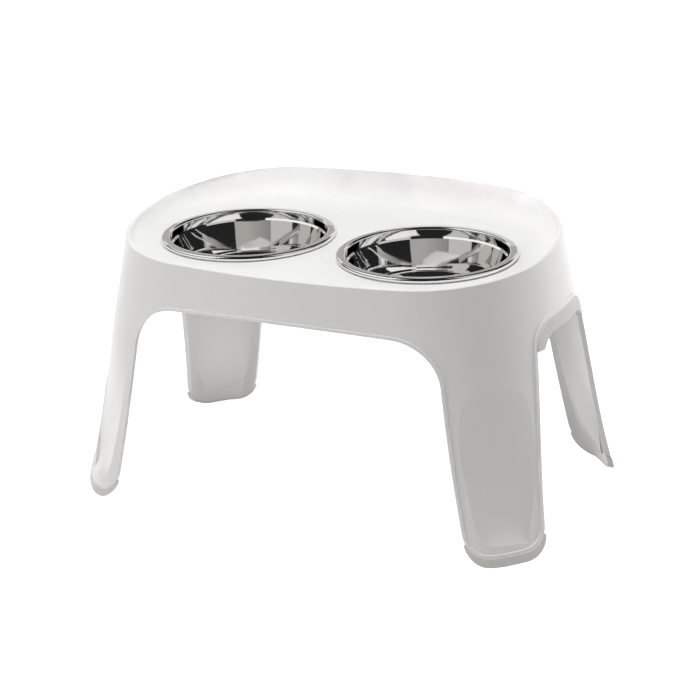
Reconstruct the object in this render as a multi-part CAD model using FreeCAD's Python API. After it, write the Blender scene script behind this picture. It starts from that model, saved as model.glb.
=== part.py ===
import FreeCAD, Part
import math
import os

os.makedirs("parts", exist_ok=True)
Vec = FreeCAD.Vector

# The feeder stands on the floor at z = 0. X runs along its length, the low rim is at -Y
# and the raised back is at +Y. Every length is in millimetres and every angle in degrees.

# Outline of the stand, a three-radius oval that changes from the deck down to the floor
deck_height = 226.5
wall = 3.0
deck_half_length = 205.0
deck_half_width = 126.0
deck_front_radius = 828.0
deck_end_radius = 182.0
deck_corner_radius = 113.5
floor_half_length = 255.0
floor_half_width = 135.5
floor_front_radius = 5600.0
floor_end_radius = 173.0
floor_corner_radius = 38.5
length_slope_share = 0.81       # part of the spread in length that is an even slope
width_slope_share = 0.8         # the same for the width, the rest is the flare at the feet
flare_power = 5                 # how late the flare of the feet sets in
radii_power = 1.5               # the radii start to change evenly below the deck
level_shares = (1.2, 1.0, 0.8, 0.56, 0.34, 0.17, 0.06, -0.04)    # sections, of the deck height

# Rim of the tray
rim_front_height = 230.3
rim_side_height = 242.2
rim_back_height = 261.0
rim_round = 1.1
rim_inner_round = 0.9

# Wall of the tray, which curves up from the deck: how far its foot lies inside the rim
tray_front_sweep = 6.0
tray_end_sweep = 24.0
tray_back_sweep = 36.0
tray_corner_ease = 2.0          # larger corners, as the stand narrows towards the high back rim
tray_rise_shares = (0.0, 0.05, 0.18, 0.42, 0.72, 1.0, 1.3)       # sections, of the rim's height

# Arches between the legs: half widths at the top, half way down and at the floor
front_arch_top = 143.4
front_arch_middle = 157.6
front_arch_floor = 176.5
front_arch_spring = 186.7
front_arch_crown = 191.0
front_arch_corner = 46.0
end_arch_top = 50.0
end_arch_middle = 68.6
end_arch_floor = 90.0
end_arch_spring = 190.5
end_arch_crown = 191.8
end_arch_corner = 29.0

# Rolled lip along the arches and round the toes
lip_width = 2.6
lip_proud = 1.4
lip_toe_height = 7.5
toe_radius = 24.0

# Scooped panel down the outer face of each leg
panel_half_angle = 25.0
panel_depth = 6.8
panel_overshoot_share = 0.2     # how far the section runs on past each ridge, of its half width
panel_height_shares = (0.065, 0.11, 0.17, 0.3, 0.43, 0.56, 0.68)    # sections, of the deck height
panel_depth_shares = (-0.12, 0.55, 0.93, 1.0, 0.68, 0.28, -0.12)
panel_lift = 0.8                # the closing sections pass this far outside the surface

# Bowls and the holes that they hang in
bowl_spacing = 178.2
bowl_back = -10.1
bowl_rim_radius = 80.0
bowl_bead_radius = 2.2
bowl_flange_width = 5.4
bowl_depth = 52.0
bowl_sheet = 0.8
bowl_shoulder_drop = 10.0
bowl_shoulder_step = 1.6
bowl_base_radius = 50.0
bowl_base_round = 17.0
bowl_flange_round = 2.0
seat_clearance = 0.3
hole_clearance = 1.2

# Ribs under the deck
rib_thickness = 2.0
rib_depth = 17.0

# Foot pads, pressed over a thin tongue that runs on below the lip
tongue_toe_height = 2.0
pad_proud = 1.9
pad_end_height = 18.0

# Hand grips pressed under the end arches
grip_drop = 12.0
grip_side = 4.5
grip_proud = 2.4
grip_corner = 25.0
grip_end_height = 168.0

overrun = 10.0


def blend(top, floor, slope_share, drop):
    """Value between deck and floor: an even slope plus a flare that sets in near the floor."""
    return top + (floor - top) * (slope_share * drop + (1 - slope_share) * max(drop, 0) ** flare_power)


def outline(height, grow):
    """Half length, half width and the three radii of the stand's outline at a height."""
    drop = 1 - height / deck_height
    even = max(drop, 0) ** radii_power
    return (
        blend(deck_half_length, floor_half_length, length_slope_share, drop) + grow,
        blend(deck_half_width, floor_half_width, width_slope_share, drop) + grow,
        deck_front_radius + (floor_front_radius - deck_front_radius) * even + grow,
        deck_end_radius + (floor_end_radius - deck_end_radius) * even + grow,
        deck_corner_radius + (floor_corner_radius - deck_corner_radius) * even + grow,
    )


def corner_centre(half_length, half_width, front_radius, end_radius, corner_radius):
    """Centre of the corner arc that touches the long arc and the end arc from inside."""
    front = half_width - front_radius
    end = half_length - end_radius
    apart = math.hypot(front, end)
    to_front = front_radius - corner_radius
    to_end = end_radius - corner_radius
    along = (to_front ** 2 - to_end ** 2 + apart ** 2) / (2 * apart)
    across = math.sqrt(to_front ** 2 - along ** 2)
    step_x = end / apart
    step_y = -front / apart
    one = (along * step_x - across * step_y, front + along * step_y + across * step_x)
    two = (along * step_x + across * step_y, front + along * step_y - across * step_x)
    return max(one, two, key=sum)


def oval_wire(height, sizes, shift=0.0):
    """Closed oval of eight tangent arcs at a height, moved along Y by shift."""
    half_length, half_width, front_radius, end_radius, corner_radius = sizes
    cx, cy = corner_centre(*sizes)
    front_turn = math.atan2(cx, cy - half_width + front_radius)
    end_turn = math.atan2(cy, cx - half_length + end_radius)
    long_join = (front_radius * math.sin(front_turn),
                 half_width - front_radius + front_radius * math.cos(front_turn))
    end_join = (half_length - end_radius + end_radius * math.cos(end_turn),
                end_radius * math.sin(end_turn))
    middle = (math.pi / 2 - front_turn + end_turn) / 2
    corner = (cx + corner_radius * math.cos(middle), cy + corner_radius * math.sin(middle))
    quarter = [(half_length, 0.0), end_join, corner, long_join, (0.0, half_width)]

    def at(index, side_x, side_y):
        return Vec(side_x * quarter[index][0], side_y * quarter[index][1] + shift, height)

    stops = [
        (at(1, 1, -1), at(0, 1, 1), at(1, 1, 1)),
        (at(1, 1, 1), at(2, 1, 1), at(3, 1, 1)),
        (at(3, 1, 1), at(4, 1, 1), at(3, -1, 1)),
        (at(3, -1, 1), at(2, -1, 1), at(1, -1, 1)),
        (at(1, -1, 1), at(0, -1, 1), at(1, -1, -1)),
        (at(1, -1, -1), at(2, -1, -1), at(3, -1, -1)),
        (at(3, -1, -1), at(4, 1, -1), at(3, 1, -1)),
        (at(3, 1, -1), at(2, 1, -1), at(1, 1, -1)),
    ]
    return Part.Wire([Part.Arc(*stop).toShape() for stop in stops])


def stand_form(grow):
    """Solid inside the stand's outer face, moved out by grow."""
    heights = [share * deck_height for share in level_shares]
    return Part.makeLoft([oval_wire(height, outline(height, grow)) for height in heights], True, False)


def sweep(foot, share):
    """How far the tray's wall still lies inside the rim: a quarter of an ellipse in section."""
    lean = 1 - min(share, 1)
    return foot * (1 - math.sqrt(1 - lean ** 2))


def tray_form(grow):
    """Solid that fills the tray's hollow, moved out and down by grow.

    Its sections fan out about a line in front of the tray, from the deck's plane up to the rim's.
    """
    slope = (rim_back_height - rim_front_height) / (2 * deck_half_width)
    hinge = -deck_half_width - (rim_front_height - deck_height) / slope
    wires = []
    for share in tray_rise_shares:
        steep = slope * share
        front_height = deck_height + (-deck_half_width - hinge) * steep
        back_height = deck_height + (deck_half_width - hinge) * steep
        front = outline(front_height, grow - wall)[1] - sweep(tray_front_sweep, share)
        back = outline(back_height, grow - wall)[1] - sweep(tray_back_sweep, share)
        ends = outline((front_height + 2 * back_height) / 3, grow - wall)
        inward = sweep(tray_end_sweep, share)
        side = (sweep(tray_front_sweep, share) + sweep(tray_back_sweep, share)) / 2
        stretch = math.sqrt(1 + steep ** 2)
        sizes = (ends[0] - inward, stretch * (front + back) / 2, ends[2], ends[3],
                 ends[4] + tray_corner_ease - (inward + side) / 2)
        wire = oval_wire(deck_height - grow, sizes, hinge + stretch * ((back - front) / 2 - hinge))
        wire.rotate(Vec(0, hinge, deck_height - grow), Vec(1, 0, 0), math.degrees(math.atan(steep)))
        wires.append(wire)
    return Part.makeLoft(wires, True, False)


def rim_height(y):
    """Height of the rim, which climbs in a gentle arc from front to back."""
    slope = (rim_back_height - rim_front_height) / (2 * deck_half_width)
    bend = ((rim_back_height + rim_front_height) / 2 - rim_side_height) / deck_half_width ** 2
    return rim_side_height + slope * y + bend * y ** 2


def rim_cutter():
    """Everything above the rim."""
    reach_x = deck_half_length + overrun
    reach_y = deck_half_width + overrun
    top = level_shares[0] * deck_height + overrun

    def on_rim(y):
        return Vec(-reach_x, y, rim_height(y))

    edges = [
        Part.Arc(on_rim(-reach_y), on_rim(0), on_rim(reach_y)).toShape(),
        Part.LineSegment(on_rim(reach_y), Vec(-reach_x, reach_y, top)).toShape(),
        Part.LineSegment(Vec(-reach_x, reach_y, top), Vec(-reach_x, -reach_y, top)).toShape(),
        Part.LineSegment(Vec(-reach_x, -reach_y, top), on_rim(-reach_y)).toShape(),
    ]
    return Part.Face(Part.Wire(edges)).extrude(Vec(2 * reach_x, 0, 0))


def round_rim(shape, side, radius):
    """Rounds the rim's edge that lies on side, the solid that gives that face of the rim."""
    found = []
    for edge in shape.Edges:
        points = edge.discretize(3)
        level = max(abs(point.z - rim_height(point.y)) for point in points) < rim_round / 2
        if level and side.isInside(points[1], rim_round / 4, True):
            found.append(edge)
    return shape.makeFillet(radius, found)


def arch_profile(top, middle, floor, spring, crown):
    """Arch outline in the XZ plane, from below the floor up to the crown and down again."""
    low = -overrun
    foot = floor + (floor - middle) * overrun / (spring / 2)
    points = [Vec(-foot, 0, low), Vec(-middle, 0, spring / 2), Vec(-top, 0, spring), Vec(0, 0, crown),
              Vec(top, 0, spring), Vec(middle, 0, spring / 2), Vec(foot, 0, low)]
    edges = [
        Part.Arc(points[0], points[1], points[2]).toShape(),
        Part.Arc(points[2], points[3], points[4]).toShape(),
        Part.Arc(points[4], points[5], points[6]).toShape(),
        Part.LineSegment(points[6], points[0]).toShape(),
    ]
    return Part.Face(Part.Wire(edges))


def edges_near(shape, height, half_width):
    """Edges that run along Y at a height, at either side."""
    found = []
    for edge in shape.Edges:
        middle = edge.BoundBox.Center
        flat = edge.BoundBox.XLength + edge.BoundBox.ZLength < wall
        if flat and abs(middle.z - height) < wall / 2 and abs(abs(middle.x) - half_width) < overrun:
            found.append(edge)
    return found


def arch_cutter(sizes, corner, toe_height, toe_round, depth):
    """Opening under an arch, cut along Y, with the slab below the toes and both roundings."""
    top, middle, floor, spring, crown = sizes
    arch = arch_profile(*sizes)
    arch.translate(Vec(0, -depth, 0))
    arch = arch.extrude(Vec(0, 2 * depth, 0))
    arch = arch.makeFillet(corner, edges_near(arch, spring, top))
    reach = floor_half_length + 2 * overrun
    slab = Part.makeBox(2 * reach, 2 * depth, toe_height + overrun, Vec(-reach, -depth, -overrun))
    both = arch.fuse(slab).removeSplitter()
    return both.makeFillet(toe_round, edges_near(both, toe_height, floor))


def openings(grow, toe_height):
    """All four arches and the slab below the toes, with the edge moved out by grow."""
    front = arch_cutter(
        (front_arch_top + grow, front_arch_middle + grow, front_arch_floor + grow,
         front_arch_spring + grow, front_arch_crown + grow),
        front_arch_corner + grow, toe_height + grow, toe_radius - grow, floor_half_width + 2 * overrun)
    return front.fuse(end_opening(grow, toe_height))


def end_opening(grow, toe_height):
    """The two end arches and the slab below the toes, with the edge moved out by grow."""
    end = arch_cutter(
        (end_arch_top + grow, end_arch_middle + grow, end_arch_floor + grow,
         end_arch_spring + grow, end_arch_crown + grow),
        end_arch_corner + grow, toe_height + grow, toe_radius - grow, floor_half_length + 2 * overrun)
    end.rotate(Vec(0, 0, 0), Vec(0, 0, 1), 90)
    return end


def panel_tool(inset):
    """Scoop for the front right leg, moved into the leg by inset."""
    wires = []
    for height_share, depth_share in zip(panel_height_shares, panel_depth_shares):
        height = height_share * deck_height
        sizes = outline(height, 0)
        cx, cy = corner_centre(*sizes)
        lift = panel_lift if depth_share < 0 else 0
        ridge = sizes[4] - inset + lift
        valley = sizes[4] - inset - depth_share * panel_depth

        def polar(radius, angle):
            turn = math.radians(angle - 45)
            return Vec(cx + radius * math.cos(turn), -cy + radius * math.sin(turn), height)

        middle = polar(valley, 0)
        ends = []
        for side in (-1, 1):
            edge = polar(ridge, side * panel_half_angle)
            ends.append(edge + (edge - middle) * panel_overshoot_share)
        apex = polar(sizes[4] + floor_corner_radius, 0)
        wires.append(Part.Wire([
            Part.Arc(ends[0], middle, ends[1]).toShape(),
            Part.LineSegment(ends[1], apex).toShape(),
            Part.LineSegment(apex, ends[0]).toShape(),
        ]))
    return Part.makeLoft(wires, True, False)


def four_legs(tool):
    """The tool and its mirror images in the other three legs."""
    across = tool.mirror(Vec(0, 0, 0), Vec(1, 0, 0))
    pair = tool.fuse(across)
    return pair.fuse(pair.mirror(Vec(0, 0, 0), Vec(0, 1, 0)))


def hole_tool():
    """Both bowl holes."""
    radius = bowl_rim_radius - bowl_bead_radius - bowl_flange_width + hole_clearance
    low = deck_height - rib_depth - 2 * overrun
    tools = [Part.makeCylinder(radius, 4 * overrun + rib_depth, Vec(side * bowl_spacing / 2, bowl_back, low))
             for side in (-1, 1)]
    return tools[0].fuse(tools[1])


def rib_set(hollow):
    """Ribs under the deck: one between the bowls and one in line with each bowl."""
    ribs = []
    for x in (-bowl_spacing / 2, 0, bowl_spacing / 2):
        plate = Part.makeBox(rib_thickness, 2 * deck_half_width, rib_depth,
                             Vec(x - rib_thickness / 2, -deck_half_width, deck_height - wall - rib_depth))
        ribs.append(plate.common(hollow))
    return ribs[0].multiFuse(ribs[1:])


def mirrored_half(shape):
    """The left half of a shape and its mirror image, so that both sides are exactly alike."""
    reach = floor_half_length + 3 * overrun
    half = shape.common(Part.makeBox(reach, 2 * reach, 2 * reach, Vec(-reach, -reach, -reach)))
    return half.fuse(half.mirror(Vec(0, 0, 0), Vec(1, 0, 0))).removeSplitter()


def build_stand():
    """One moulding: tray, skirt and four flared legs, open underneath."""
    form = stand_form(0)
    tray = tray_form(0)
    body = round_rim(form.cut(rim_cutter()), form, rim_round)
    body = mirrored_half(round_rim(body.cut(tray), tray, rim_inner_round))
    body = body.fuse(stand_form(lip_proud).common(openings(lip_width, lip_toe_height)))
    body = body.cut(four_legs(panel_tool(0)))
    body = body.cut(openings(0, lip_toe_height))
    hollow = stand_form(-wall).cut(tray_form(wall)).cut(four_legs(panel_tool(wall)))
    tongue = form.cut(stand_form(-wall)).common(toe_band(tongue_toe_height))
    body = body.cut(hollow).fuse(tongue).fuse(rib_set(hollow))
    return body.cut(hole_tool()).removeSplitter()


def toe_band(low):
    """Space below the lip round each toe, down to a lower toe height, up to the pad's ends."""
    band = openings(0, lip_toe_height).cut(openings(0, low))
    reach_x = floor_half_length + 3 * overrun
    reach_y = floor_half_width + 3 * overrun
    keep = Part.makeBox(2 * reach_x, 2 * reach_y, pad_end_height + overrun,
                        Vec(-reach_x, -reach_y, -overrun))
    return band.common(keep)


def on_side(shape, side_x, side_y=0):
    """The one solid of a shape that lies on the given side of the middle, in X and in Y."""
    return [solid for solid in shape.Solids
            if side_x * solid.CenterOfMass.x > 0 and side_y * solid.CenterOfMass.y >= 0][0]


def build_pads(stand):
    """Four rubber pads: a sole under the tongue and a cheek in front of it."""
    skin = stand_form(pad_proud).cut(stand_form(-wall))
    return skin.common(toe_band(0)).cut(stand)


def build_grips(stand):
    """Soft strips pressed under the edges of the end arches."""
    inner = arch_cutter(
        (end_arch_top - grip_side, end_arch_middle - grip_side, end_arch_floor - grip_side,
         end_arch_spring - grip_drop, end_arch_crown - grip_drop),
        grip_corner, -overrun / 2, overrun / 4, floor_half_length + 2 * overrun)
    inner.rotate(Vec(0, 0, 0), Vec(0, 0, 1), 90)
    band = end_opening(0, lip_toe_height).cut(inner)
    reach_x = floor_half_length + 3 * overrun
    keep = Part.makeBox(2 * reach_x, 4 * end_arch_top, deck_height,
                        Vec(-reach_x, -2 * end_arch_top, grip_end_height))
    skin = stand_form(grip_proud).cut(stand_form(-wall))
    return skin.common(band.common(keep)).cut(stand)


def build_bowl(side):
    """Pressed steel bowl: rolled bead, flat flange, shoulder, wall and rounded base."""
    bead_height = deck_height + seat_clearance + bowl_bead_radius
    top = bead_height + bowl_bead_radius
    bead_centre = bowl_rim_radius - bowl_bead_radius
    mouth = bead_centre - bowl_flange_width
    shoulder = top - bowl_shoulder_drop
    waist = mouth - bowl_shoulder_step
    base = top - bowl_depth
    rounding = bowl_base_round

    def section(inset):
        """Points from the axis along the base and up to the flange, moved in by inset."""
        lower = waist - inset
        run = math.hypot(lower - bowl_base_radius - rounding, shoulder - base - rounding)
        lean = (lower - bowl_base_radius - rounding) / run
        rise = (shoulder - base - rounding) / run
        centre = Vec(bowl_base_radius, 0, base + rounding)
        radius = rounding - inset
        wall_start = centre + Vec(radius * rise, 0, -radius * lean)
        middle_turn = math.atan2(-lean, rise) / 2 - math.pi / 4
        return [
            Vec(0, 0, base + inset),
            Vec(bowl_base_radius, 0, base + inset),
            centre + Vec(radius * math.cos(middle_turn), 0, radius * math.sin(middle_turn)),
            wall_start,
            Vec(lower, 0, shoulder),
            Vec(mouth - inset, 0, shoulder + bowl_shoulder_step),
        ]

    outer = section(0)
    inner = section(bowl_sheet)
    bend = math.sqrt(0.5)
    turn_centre = Vec(mouth - bowl_sheet + bowl_flange_round, 0, top - bowl_flange_round)
    inner_top = turn_centre + Vec(0, 0, bowl_flange_round)
    outer_radius = bowl_flange_round - bowl_sheet
    outer_top = turn_centre + Vec(0, 0, outer_radius)
    inner_turn = turn_centre - Vec(bowl_flange_round, 0, 0)
    outer_turn = turn_centre - Vec(outer_radius, 0, 0)
    bead = Vec(bead_centre, 0, bead_height)
    lower_drop = outer_top.z - bead_height
    bead_in = bead + Vec(-math.sqrt(bowl_bead_radius ** 2 - lower_drop ** 2), 0, lower_drop)
    edges = [
        Part.LineSegment(outer[0], outer[1]).toShape(),
        Part.Arc(outer[1], outer[2], outer[3]).toShape(),
        Part.LineSegment(outer[3], outer[4]).toShape(),
        Part.LineSegment(outer[4], outer[5]).toShape(),
        Part.LineSegment(outer[5], outer_turn).toShape(),
        Part.Arc(outer_turn, turn_centre + Vec(-outer_radius * bend, 0, outer_radius * bend),
                 outer_top).toShape(),
        Part.LineSegment(outer_top, bead_in).toShape(),
        Part.Arc(bead_in, bead + Vec(bowl_bead_radius * bend, 0, -bowl_bead_radius * bend),
                 bead + Vec(0, 0, bowl_bead_radius)).toShape(),
        Part.LineSegment(bead + Vec(0, 0, bowl_bead_radius), inner_top).toShape(),
        Part.Arc(inner_top, turn_centre + Vec(-bowl_flange_round * bend, 0, bowl_flange_round * bend),
                 inner_turn).toShape(),
        Part.LineSegment(inner_turn, inner[5]).toShape(),
        Part.LineSegment(inner[5], inner[4]).toShape(),
        Part.LineSegment(inner[4], inner[3]).toShape(),
        Part.Arc(inner[3], inner[2], inner[1]).toShape(),
        Part.LineSegment(inner[1], inner[0]).toShape(),
        Part.LineSegment(inner[0], outer[0]).toShape(),
    ]
    bowl = Part.Face(Part.Wire(edges)).revolve(Vec(0, 0, 0), Vec(0, 0, 1), 360)
    bowl.translate(Vec(side * bowl_spacing / 2, bowl_back, 0))
    return bowl


def save(name, shape):
    """Writes one piece and prints what it is."""
    shape.exportStep(os.path.join("parts", name + ".step"))
    box = shape.BoundBox
    print(name, "solids", len(shape.Solids), "valid", shape.isValid(), "volume", round(shape.Volume),
          "x", round(box.XMin, 1), round(box.XMax, 1), "y", round(box.YMin, 1), round(box.YMax, 1),
          "z", round(box.ZMin, 1), round(box.ZMax, 1))


stand = build_stand()
save("stand", stand)
pads = build_pads(stand)
for end_name, side_y in (("front", -1), ("rear", 1)):
    for side_name, side_x in (("left", -1), ("right", 1)):
        save("foot_pad_" + end_name + "_" + side_name, on_side(pads, side_x, side_y))
grips = build_grips(stand)
for side_name, side_x in (("left", -1), ("right", 1)):
    save("hand_grip_" + side_name, on_side(grips, side_x))
    save("bowl_" + side_name, build_bowl(side_x))
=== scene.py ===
import math

import bpy
from mathutils import Matrix, Vector

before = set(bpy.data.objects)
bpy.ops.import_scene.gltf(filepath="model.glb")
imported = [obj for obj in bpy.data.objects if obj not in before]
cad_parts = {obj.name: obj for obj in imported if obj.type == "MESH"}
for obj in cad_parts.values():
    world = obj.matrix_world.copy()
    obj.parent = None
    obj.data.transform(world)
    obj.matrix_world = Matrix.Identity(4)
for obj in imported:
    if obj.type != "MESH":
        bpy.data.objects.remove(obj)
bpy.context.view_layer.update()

# Camera, from a perspective fit to the photograph
AZIMUTH = math.radians(26.98)       # swung to the right of the low front rim
ELEVATION = math.radians(20.22)
ROLL = math.radians(-2.132)
DISTANCE = 1.692
TARGET = Vector((0.0049, 0.0, 0.1244))
FOCAL_PIXELS = 1848.0
FRAME_PIXELS = 700.0
SENSOR = 36.0

# Places on the feeder that the finishes follow
BOWL_OFFSET = 0.0891                # the bowls' axes and the ribs under the deck, left and right
BOWL_BACK = -0.0101                 # the bowls' axes, front to back
UNDER_DECK = (0.222, 0.224)         # heights over which the bowls' satin outside, with its painted shade, gives way
SINK_HALF_WIDTH = 0.0032            # a sink mark, on both sides of its rib
SINK_SIDES = (0.1, 0.102)           # where the sink marks end, left and right
SINK_FOOT = (0.196, 0.206)          # heights over which the sink marks set in
SINK_DEPTH = 0.00012

# Finishes: two tones that a noise mixes, and the range of the roughness
PLASTIC_TONES = (0.885, 0.882, 0.872, 1.0), (0.9, 0.898, 0.89, 1.0)
PLASTIC_ROUGHNESS = (0.28, 0.34)
POLISHED_TONES = (0.88, 0.875, 0.865, 1.0), (0.93, 0.93, 0.925, 1.0)
POLISHED_ROUGHNESS = (0.015, 0.035)
LINES_ROUGHNESS = (0.0, 0.015)      # added by the turned lines
# The satin tones, darker than the polished ones, are painted shade on the bowls' outsides below
# the deck
PAINTED_SHADE_SATIN_TONES = (0.47, 0.467, 0.46, 1.0), (0.53, 0.528, 0.522, 1.0)
SATIN_ROUGHNESS = 0.2               # added on the bowls' outsides
RUBBER_TONES = (0.72, 0.715, 0.69, 1.0), (0.8, 0.795, 0.77, 1.0)
RUBBER_ROUGHNESS = (0.5, 0.68)
FLOOR_TONES = (0.66, 0.645, 0.62, 1.0), (0.68, 0.665, 0.64, 1.0)
FLOOR_ROUGHNESS = 0.7
FLOOR_SIZE = 20
FLOOR_GLOW = 0.92                   # to the camera and in mirror images

# Lamps: place, aim, width, height, spread in degrees, power in watts. The soft boxes light the
# whole feeder; the narrow strips light only the tray's back wall and the small one the far leg.
FEEDER = (0.0, 0.0, 0.15)
DECK = (0.0, 0.0, 0.2)
OPEN = 180.0
NARROW = 3.0
LAMPS = {
    "top_lamp": ((0.0, 0.0, 1.7), DECK, 1.2, 1.2, OPEN, 15.0),
    "top_front_lamp": ((0.0, -0.8, 1.6), DECK, 1.0, 0.8, OPEN, 7.6),
    "tray_lamp": ((0.0, -1.5, 0.5), (0.0, 0.12, 0.268), 0.4, 0.02, NARROW, 0.015),
    "tray_left_lamp": ((1.0, -1.2, 0.5), (-0.15, 0.08, 0.262), 0.2, 0.02, NARROW, 0.012),
    "tray_right_lamp": ((-1.0, -1.2, 0.5), (0.15, 0.08, 0.262), 0.2, 0.02, NARROW, 0.007),
    "leg_lamp": ((0.565, -1.38, 0.41), (-0.19, 0.1, 0.06), 0.07, 0.1, 4.0, 0.006),
    "left_front_lamp": ((-1.2, -1.2, 0.6), FEEDER, 0.8, 0.9, OPEN, 6.3),
    "right_lamp": ((1.7, 0.2, 0.6), FEEDER, 0.8, 0.9, OPEN, 2.2),
    "right_back_lamp": ((1.2, 1.3, 0.6), FEEDER, 0.8, 0.9, OPEN, 14.0),
    "left_back_lamp": ((-1.2, 1.2, 0.6), FEEDER, 0.8, 0.9, OPEN, 12.0),
}
FILL = (0.06, 0.06, 0.06, 1.0)      # light from all round on the object

# Mirrored room: tones, compass directions in degrees from +X, and heights as the sine of a
# direction's angle above the horizon
WHITE = (1.0, 1.0, 1.0, 1.0)
DARK = (0.018, 0.018, 0.019)
NEAR_WALL = (0.58, 0.57, 0.55)
FAR_WALL = (0.44, 0.43, 0.41)
SHADED_WALL = (0.28, 0.272, 0.26)
PALE_BAND = (0.9, 0.9, 0.9)
SOFT_BOX = (0.95, 0.95, 0.95)
WALL_START, CORNER, SHADE_END, WALL_END = -20, 52, 125, 160
BAND_SHADE_END, BAND_START, BAND_END, BAND_FADED = 85, 95, 145, 150
LEFT_BOX_END, HIGH_WALL_START, HIGH_WALL_END, BACK_BOX_START = -112, -22, 35, 148
HORIZON = (0.03, 0.06)
BAND_FOOT = (0.31, 0.325)
HIGH_FOOT = (0.41, 0.43)
OVERHEAD = (0.95, 0.97)
EDGE = 0.003                        # share of the round over which a sharp edge changes


def place_camera():
    """Camera on a sphere about the target, looking at it, with a small roll."""
    back = Vector((math.sin(AZIMUTH) * math.cos(ELEVATION),
                   -math.cos(AZIMUTH) * math.cos(ELEVATION),
                   math.sin(ELEVATION)))
    right = Vector((math.cos(AZIMUTH), math.sin(AZIMUTH), 0.0))
    up = back.cross(right)
    turned_right = right * math.cos(ROLL) + up * math.sin(ROLL)
    turned_up = up * math.cos(ROLL) - right * math.sin(ROLL)
    data = bpy.data.cameras.new("camera")
    data.sensor_width = SENSOR
    data.lens = FOCAL_PIXELS / FRAME_PIXELS * SENSOR
    camera = bpy.data.objects.new("camera", data)
    camera.matrix_world = Matrix.Translation(TARGET + DISTANCE * back) @ Matrix(
        (turned_right, turned_up, back)).transposed().to_4x4()
    bpy.context.scene.collection.objects.link(camera)
    bpy.context.scene.camera = camera


def area_lamp(name, place, aim, width, height, spread, power):
    """Rectangular lamp at a place, turned towards aim, that mirror images leave out."""
    data = bpy.data.lights.new(name, "AREA")
    data.shape = "RECTANGLE"
    data.size = width
    data.size_y = height
    data.spread = math.radians(spread)
    data.energy = power
    lamp = bpy.data.objects.new(name, data)
    direction = Vector(aim) - Vector(place)
    lamp.matrix_world = (Matrix.Translation(place)
                         @ direction.to_track_quat("-Z", "Y").to_matrix().to_4x4())
    lamp.visible_glossy = False
    bpy.context.scene.collection.objects.link(lamp)


class Tree:
    """Adds nodes to a node tree, each with its settings and its inputs, values or sockets."""

    def __init__(self, owner):
        owner.use_nodes = True
        self.nodes = owner.node_tree.nodes
        self.links = owner.node_tree.links

    def add(self, kind, inputs=(), **settings):
        node = self.nodes.new("ShaderNode" + kind)
        for name, value in settings.items():
            setattr(node, name, value)
        for name, value in dict(inputs).items():
            self.feed(node.inputs[name], value)
        return node

    def feed(self, socket, value):
        if isinstance(value, bpy.types.NodeSocket):
            self.links.new(value, socket)
        else:
            socket.default_value = value

    def axes(self, vector):
        return self.add("SeparateXYZ", {"Vector": vector}).outputs

    def math(self, operation, *values):
        node = self.add("Math", operation=operation)
        for socket, value in zip(node.inputs, values):
            self.feed(socket, value)
        return node.outputs[0]

    def remap(self, value, low, high, new_low, new_high, smooth=False):
        node = self.add("MapRange", {"Value": value, "From Min": low, "From Max": high,
                                     "To Min": new_low, "To Max": new_high},
                        interpolation_type="SMOOTHSTEP" if smooth else "LINEAR")
        return node.outputs["Result"]

    def stretch(self, noise, new_low, new_high):
        """The middle of a noise, where most of its values lie, stretched over a new range."""
        return self.remap(noise, 0.3, 0.7, new_low, new_high)

    def noise(self, place, scale, detail=2.0, roughness=0.5):
        node = self.add("TexNoise", {"Vector": place, "Scale": scale, "Detail": detail,
                                     "Roughness": roughness})
        return node.outputs["Fac"]

    def mix(self, share, first, second):
        """Mix of two colours; a Mix node has its colour sockets at 6 and 7 and its result at 2."""
        node = self.add("Mix", data_type="RGBA")
        for index, value in (0, share), (6, first), (7, second):
            self.feed(node.inputs[index], value)
        return node.outputs[2]

    def ramp(self, value, stops):
        node = self.add("ValToRGB", {"Fac": value})
        elements = node.color_ramp.elements
        while len(elements) < len(stops):
            elements.new(0.5)
        for element, (position, level) in zip(elements, stops):
            element.position = position
            element.color = (*level, 1.0)
        return node.outputs["Color"]

    def bump(self, height, strength, distance, **under):
        """Normal raised by a height, on top of another Normal where one is given."""
        node = self.add("Bump", {"Height": height, "Strength": strength, "Distance": distance,
                                 **under})
        return node.outputs["Normal"]


def new_material(name, metallic=0.0):
    """Principled material: its tree, its shader, and Object coordinates in metres."""
    material = bpy.data.materials.new(name)
    tree = Tree(material)
    shader = tree.nodes["Principled BSDF"]
    shader.inputs["Metallic"].default_value = metallic
    place = tree.add("TexCoord").outputs["Object"]
    return material, tree, shader, place


def white_plastic():
    """Smooth moulded white: cloudy tone, orange-peel skin, faint sink marks along the ribs.

    The ribs lie at X = 0 and at both bowls' axes, so the way to the nearest one is |X| folded
    to and fro over half a bowl's offset."""
    material, tree, shader, place = new_material("white_plastic")
    cloud = tree.noise(place, scale=9.0, detail=1.0)
    tree.feed(shader.inputs["Base Color"],
              tree.mix(tree.stretch(cloud, 0.0, 1.0), *PLASTIC_TONES))
    tree.feed(shader.inputs["Roughness"],
              tree.stretch(tree.noise(place, scale=25.0), *PLASTIC_ROUGHNESS))
    axes = tree.axes(place)
    aside = tree.math("ABSOLUTE", axes["X"])
    from_rib = tree.math("PINGPONG", aside, BOWL_OFFSET / 2)
    mark = tree.remap(from_rib, 0.0, SINK_HALF_WIDTH, 1.0, 0.0, smooth=True)
    inside = tree.remap(aside, *SINK_SIDES, 1.0, 0.0)
    high = tree.remap(axes["Z"], *SINK_FOOT, 0.0, 1.0, smooth=True)
    sink = tree.math("MULTIPLY", tree.math("MULTIPLY", mark, inside), high)
    sunk = tree.bump(sink, strength=0.6, distance=-SINK_DEPTH)
    peel = tree.noise(place, scale=300.0, detail=1.0)
    tree.feed(shader.inputs["Normal"],
              tree.bump(peel, strength=0.15, distance=0.00004, Normal=sunk))
    return material


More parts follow.
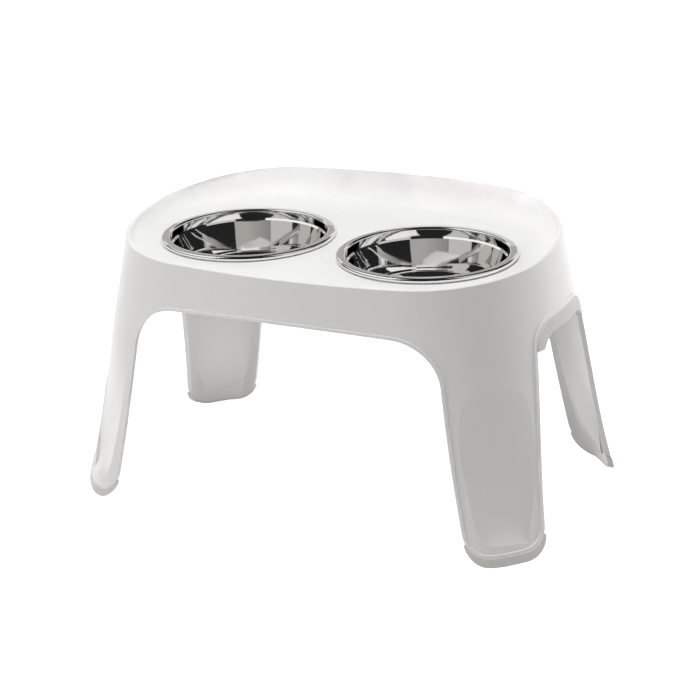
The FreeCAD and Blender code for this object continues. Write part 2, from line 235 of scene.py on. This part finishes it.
def polished_steel():
    """Pressed steel: fine turned lines round each bowl's axis, the slow waves of thin sheet,
    and a satin outside below the deck, whose darker tones are painted shade.

    With (a, b) the way from the bowl's axis, a along |X| and b along Y, and n the normal, a face
    is outside where (n.x sign(X) a + n.y b) / |(a, b)| - n.z is above 0."""
    material, tree, shader, place = new_material("polished_steel", 1.0)
    axes = tree.axes(place)
    along = tree.math("SUBTRACT", tree.math("ABSOLUTE", axes["X"]), BOWL_OFFSET)
    across = tree.math("SUBTRACT", axes["Y"], BOWL_BACK)
    radius = tree.math("SQRT", tree.math("ADD", tree.math("MULTIPLY", along, along),
                                         tree.math("MULTIPLY", across, across)))
    ring = tree.add("CombineXYZ", {"X": radius, "Z": axes["Z"]}).outputs["Vector"]
    lines = tree.noise(ring, scale=2600.0)
    smudge = tree.noise(place, scale=45.0, detail=4.0, roughness=0.6)

    facing = tree.axes(tree.add("TexCoord").outputs["Normal"])
    facing_along = tree.math("MULTIPLY", facing["X"], tree.math("SIGN", axes["X"]))
    outward = tree.math("DIVIDE", tree.math("ADD", tree.math("MULTIPLY", facing_along, along),
                                            tree.math("MULTIPLY", facing["Y"], across)), radius)
    turned_out = tree.remap(tree.math("SUBTRACT", outward, facing["Z"]), 0.2, 0.4, 0.0, 1.0)
    satin_and_painted_shade = tree.math("MULTIPLY", turned_out, tree.remap(axes["Z"], *UNDER_DECK, 1.0, 0.0))

    # Below the deck the outside takes the darker satin tones, which are painted shade, and a
    # rougher satin finish
    tree.feed(shader.inputs["Base Color"], tree.mix(
        satin_and_painted_shade, tree.mix(smudge, *POLISHED_TONES), tree.mix(smudge, *PAINTED_SHADE_SATIN_TONES)))
    gloss = tree.math("ADD", tree.stretch(smudge, *POLISHED_ROUGHNESS),
                      tree.stretch(lines, *LINES_ROUGHNESS))
    tree.feed(shader.inputs["Roughness"], tree.math(
        "ADD", gloss, tree.math("MULTIPLY", satin_and_painted_shade, SATIN_ROUGHNESS)))
    waves = tree.bump(tree.noise(place, scale=30.0, detail=1.0), strength=1.0, distance=0.00015)
    tree.feed(shader.inputs["Normal"],
              tree.bump(lines, strength=0.1, distance=0.00001, Normal=waves))
    return material


def grey_rubber():
    """Soft grey moulding: dusty tone, close grain and a dull, uneven sheen."""
    material, tree, shader, place = new_material("grey_rubber")
    dust = tree.noise(place, scale=70.0, detail=4.0, roughness=0.6)
    tree.feed(shader.inputs["Base Color"],
              tree.mix(tree.stretch(dust, 0.0, 1.0), *RUBBER_TONES))
    tree.feed(shader.inputs["Roughness"], tree.stretch(dust, *RUBBER_ROUGHNESS))
    grain = tree.noise(place, scale=1500.0, detail=3.0)
    tree.feed(shader.inputs["Normal"], tree.bump(grain, strength=0.5, distance=0.00012))
    return material


def around(degrees):
    """Place of a compass direction, in degrees from +X, on a ramp from -180 to 180."""
    return (degrees + 180.0) / 360.0


def edge(degrees, before, after):
    """Two stops of a ramp, close together, that change one tone for another."""
    return [(around(degrees), before), (around(degrees) + EDGE, after)]


def studio_world():
    """White for the camera and an even fill on everything. Mirror images show a made-up room.

    It has a pale wall from the right round to the back left, with a shaded corner and, halfway
    up, a paler band; soft boxes higher up on the left and a strip of wall on the right; the dark
    of the room elsewhere and overhead; and white below the horizon."""
    world = bpy.data.worlds.new("studio")
    bpy.context.scene.world = world
    tree = Tree(world)
    direction = tree.add("TexCoord").outputs["Generated"]
    axes = tree.axes(direction)
    wobble = tree.remap(tree.noise(direction, scale=9.0, detail=3.0), 0.0, 1.0, -0.05, 0.05)
    turn = tree.math("ADD", tree.math("ARCTAN2", axes["Y"], axes["X"]), wobble)
    share = tree.remap(turn, -math.pi, math.pi, 0.0, 1.0)
    wall_start = [(0.0, DARK), *edge(WALL_START, DARK, NEAR_WALL),
                  *edge(CORNER, NEAR_WALL, SHADED_WALL)]
    low = tree.ramp(share, [
        *wall_start, (around(SHADE_END), FAR_WALL), *edge(WALL_END, FAR_WALL, DARK)])
    middle = tree.ramp(share, [
        *wall_start, (around(BAND_SHADE_END), FAR_WALL), (around(BAND_START), PALE_BAND),
        (around(BAND_END), PALE_BAND), (around(BAND_FADED), FAR_WALL),
        *edge(WALL_END, FAR_WALL, DARK)])
    high = tree.ramp(share, [
        (0.0, SOFT_BOX), *edge(LEFT_BOX_END, SOFT_BOX, DARK),
        *edge(HIGH_WALL_START, DARK, NEAR_WALL), *edge(HIGH_WALL_END, NEAR_WALL, DARK),
        *edge(BACK_BOX_START, DARK, PALE_BAND)])
    height = tree.math("ADD", axes["Z"], tree.math("MULTIPLY", wobble, 0.4))
    room = tree.mix(tree.remap(height, *BAND_FOOT, 0.0, 1.0, smooth=True), low, middle)
    room = tree.mix(tree.remap(height, *HIGH_FOOT, 0.0, 1.0, smooth=True), room, high)
    room = tree.mix(tree.remap(height, *OVERHEAD, 0.0, 1.0, smooth=True), room, (*DARK, 1.0))
    horizon = tree.remap(axes["Z"], *HORIZON, 0.0, 1.0, smooth=True)
    mirrored = tree.mix(horizon, WHITE, room)
    path = tree.add("LightPath").outputs
    seen = tree.math("MAXIMUM", path["Is Camera Ray"], path["Is Transmission Ray"])
    light = tree.mix(seen, tree.mix(path["Is Glossy Ray"], FILL, mirrored), WHITE)
    tree.feed(tree.nodes["Background"].inputs["Color"], light)


def studio_floor():
    """Large pale floor, white to the camera and in mirror images, that keeps the soft shadow."""
    bpy.ops.mesh.primitive_plane_add(size=FLOOR_SIZE)
    floor = bpy.context.object
    floor.name = "floor"
    material, tree, shader, place = new_material("floor_white")
    tree.feed(shader.inputs["Base Color"],
              tree.mix(tree.noise(place, scale=3.0), *FLOOR_TONES))
    shader.inputs["Roughness"].default_value = FLOOR_ROUGHNESS
    path = tree.add("LightPath").outputs
    seen = tree.math("MAXIMUM", path["Is Camera Ray"], path["Is Glossy Ray"])
    seen = tree.math("MAXIMUM", seen, path["Is Transmission Ray"])
    glow = tree.add("Emission", {
        "Color": WHITE, "Strength": tree.math("MULTIPLY", seen, FLOOR_GLOW)})
    both = tree.add("AddShader")
    tree.links.new(shader.outputs["BSDF"], both.inputs[0])
    tree.links.new(glow.outputs["Emission"], both.inputs[1])
    tree.links.new(both.outputs["Shader"], tree.nodes["Material Output"].inputs["Surface"])
    floor.data.materials.append(material)


place_camera()
finishes = {"stand": white_plastic(), "bowl": polished_steel(), "foot": grey_rubber()}
finishes["hand"] = finishes["foot"]
for name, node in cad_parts.items():
    node.data.materials.clear()
    node.data.materials.append(finishes[name.split("_")[0]])

studio_world()
studio_floor()
for name, sizes in LAMPS.items():
    area_lamp(name, *sizes)

bpy.context.scene.view_settings.view_transform = "Standard"
